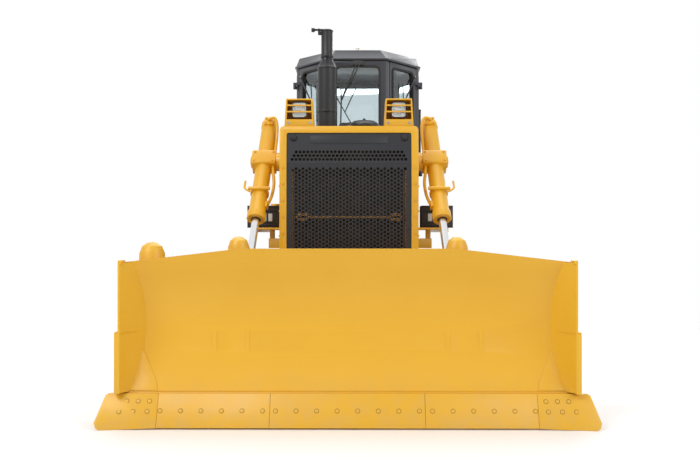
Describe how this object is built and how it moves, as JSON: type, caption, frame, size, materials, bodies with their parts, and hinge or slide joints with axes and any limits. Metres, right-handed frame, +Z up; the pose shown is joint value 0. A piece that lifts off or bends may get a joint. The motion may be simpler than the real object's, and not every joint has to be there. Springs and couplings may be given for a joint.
{
  "type": "crawler dozer with straight tilt blade",
  "caption": "Yellow crawler dozer with a straight tilt blade, hexagonal cab, radiator guard with headlamps and rigid push arms.",
  "frame": {"origin": "on the ground under the middle of the machine, blade and drawbar included", "axes": "+X to the driver's left, -Y forwards over the blade, +Z up"},
  "size_m": [3.725, 5.4599, 3.385],
  "materials": {
    "machine_paint": "satin",
    "black_paint": "satin",
    "cab_paint": "semi-gloss",
    "worn_steel": "worn",
    "cast_iron": "matte",
    "rod_chrome": "polished",
    "seat_vinyl": "matte"
  },
  "bodies": {
    "root": {"main_frame": "machine_paint", "drawbar": "machine_paint", "engine_block": "cast_iron", "radiator": "black_paint", "radiator_guard": "machine_paint", "front_sheet": "black_paint", "hood": "machine_paint", "exhaust_stack": "cast_iron", "air_cleaner": "black_paint", "fuel_tank": "machine_paint", "oil_tank": "machine_paint", "cab_base": "cab_paint", "cab_front": "cab_paint", "cab_rear": "cab_paint", "cab_roof": "cab_paint", "seat_frame": "black_paint", "seat_cushion": "seat_vinyl", "seat_back": "seat_vinyl", "dashboard": "black_paint", "track_left": "worn_steel", "track_right": "worn_steel", "sprocket_left": "worn_steel", "sprocket_right": "worn_steel", "idler_left": "cast_iron", "idler_right": "cast_iron", "track_frame_left": "machine_paint", "track_frame_right": "machine_paint", "deck_left": "machine_paint", "deck_right": "machine_paint", "deck_box_left": "black_paint", "deck_box_right": "black_paint", "headlamp_left": "machine_paint", "headlamp_right": "machine_paint"},
    "lift_carrier": {"trunnion_sleeve_left": "worn_steel", "trunnion_sleeve_right": "worn_steel"},
    "blade": {"moldboard": "machine_paint", "cutting_edge": "machine_paint", "end_bit_left": "machine_paint", "end_bit_right": "machine_paint"},
    "push_arm_left": {"push_arm_left": "machine_paint"},
    "lift_barrel_left": {"lift_barrel_left": "machine_paint"},
    "lift_rod_left": {"lift_rod_left": "rod_chrome"},
    "cab_door_left": {"cab_door_left": "cab_paint"},
    "engine_door_left": {"engine_door_left": "machine_paint"},
    "deck_box_lid_left": {"deck_box_lid_left": "black_paint"},
    "push_arm_right": {"push_arm_right": "machine_paint"},
    "lift_barrel_right": {"lift_barrel_right": "machine_paint"},
    "lift_rod_right": {"lift_rod_right": "rod_chrome"},
    "cab_door_right": {"cab_door_right": "cab_paint"},
    "engine_door_right": {"engine_door_right": "machine_paint"},
    "deck_box_lid_right": {"deck_box_lid_right": "black_paint"},
    "brace_left": {"brace_left": "machine_paint"},
    "tilt_barrel": {"tilt_barrel": "machine_paint"},
    "tilt_rod": {"tilt_rod": "rod_chrome"},
    "rain_cap": {"rain_cap": "cast_iron"}
  },
  "joints": [
    {"name": "blade_lift", "type": "hinge", "parent": "root", "child": "lift_carrier", "pos_m": [0, 0.57, 0.56], "axis": [-1, 0, 0], "range_deg": [-9.6, 19.5]},
    {"name": "blade_tilt", "type": "hinge", "parent": "lift_carrier", "child": "blade", "pos_m": [0, -1.98, 0.42], "axis": [0.4865, 0.8737, 0], "range_deg": [-6.46, 6.46]},
    {"name": "arm_swing_left", "type": "hinge", "parent": "lift_carrier", "child": "push_arm_left", "pos_m": [1.42, 0.57, 0.56], "axis": [-1, 0, 0], "range_deg": [-3.2, 3.2]},
    {"name": "arm_swing_right", "type": "hinge", "parent": "lift_carrier", "child": "push_arm_right", "pos_m": [-1.42, 0.57, 0.56], "axis": [-1, 0, 0], "range_deg": [-3.2, 3.2]},
    {"name": "brace_swing", "type": "hinge", "parent": "push_arm_left", "child": "brace_left", "pos_m": [1.42, -1.1, 0.8], "axis": [0.0028, 0.9886, 0.1505], "range_deg": [-7.9, 7.9]},
    {"name": "tilt_barrel_swing", "type": "hinge", "parent": "push_arm_right", "child": "tilt_barrel", "pos_m": [-1.42, -1.1, 0.8], "axis": [0.3659, 0.8838, 0.2917], "range_deg": [-6.6, 6.6]},
    {"name": "tilt_stroke", "type": "slide", "parent": "tilt_barrel", "child": "tilt_rod", "axis": [-0.0633, -0.9653, 0.2532], "range_m": [-0.056, 0.056]},
    {"name": "lift_barrel_swing_left", "type": "hinge", "parent": "root", "child": "lift_barrel_left", "pos_m": [0.781, -0.93, 2.1], "axis": [-1, 0, 0], "range_deg": [-8.6, 17.4]},
    {"name": "lift_stroke_left", "type": "slide", "parent": "lift_barrel_left", "child": "lift_rod_left", "axis": [0.06, -0.5776, -0.8141], "range_m": [-0.73, 0.36]},
    {"name": "cab_door_swing_left", "type": "hinge", "parent": "root", "child": "cab_door_left", "pos_m": [0.751, 0.46, 1.9], "axis": [0, 0, 1], "range_deg": [0, 123]},
    {"name": "engine_door_swing_left", "type": "hinge", "parent": "root", "child": "engine_door_left", "pos_m": [0.622, -0.176, 1.35], "axis": [0, 0, 1], "range_deg": [0, 80]},
    {"name": "deck_box_lid_swing_left", "type": "hinge", "parent": "root", "child": "deck_box_lid_left", "pos_m": [0.89, 0.332, 1.698], "axis": [-1, 0, 0], "range_deg": [0, 85]},
    {"name": "lift_barrel_swing_right", "type": "hinge", "parent": "root", "child": "lift_barrel_right", "pos_m": [-0.781, -0.93, 2.1], "axis": [-1, 0, 0], "range_deg": [-8.6, 17.4]},
    {"name": "lift_stroke_right", "type": "slide", "parent": "lift_barrel_right", "child": "lift_rod_right", "axis": [-0.06, -0.5776, -0.8141], "range_m": [-0.73, 0.36]},
    {"name": "cab_door_swing_right", "type": "hinge", "parent": "root", "child": "cab_door_right", "pos_m": [-0.593, 0.46, 1.9], "axis": [0, 0, -1], "range_deg": [0, 123]},
    {"name": "engine_door_swing_right", "type": "hinge", "parent": "root", "child": "engine_door_right", "pos_m": [-0.622, -0.176, 1.35], "axis": [0, 0, -1], "range_deg": [0, 80]},
    {"name": "deck_box_lid_swing_right", "type": "hinge", "parent": "root", "child": "deck_box_lid_right", "pos_m": [-0.89, 0.332, 1.698], "axis": [-1, 0, 0], "range_deg": [0, 85]},
    {"name": "rain_cap_swing", "type": "hinge", "parent": "root", "child": "rain_cap", "pos_m": [-0.286, -0.68, 3.367], "axis": [0, -1, 0], "range_deg": [0, 75]}
  ],
  "couplings": [
    {"joint": "arm_swing_left", "follows": "blade_tilt", "ratio": -0.4845},
    {"joint": "arm_swing_right", "follows": "blade_tilt", "ratio": 0.4836},
    {"joint": "brace_swing", "follows": "blade_tilt", "ratio": 1.2116},
    {"joint": "tilt_barrel_swing", "follows": "blade_tilt", "ratio": 1.0066},
    {"joint": "tilt_stroke", "follows": "blade_tilt", "m_per_rad": 0.4877},
    {"joint": "lift_barrel_swing_left", "follows": "blade_lift", "ratio": 0.88067},
    {"joint": "lift_stroke_left", "follows": "blade_lift", "m_per_rad": -2.1305},
    {"joint": "lift_barrel_swing_right", "follows": "blade_lift", "ratio": 0.88067},
    {"joint": "lift_stroke_right", "follows": "blade_lift", "m_per_rad": -2.1305}
  ]
}
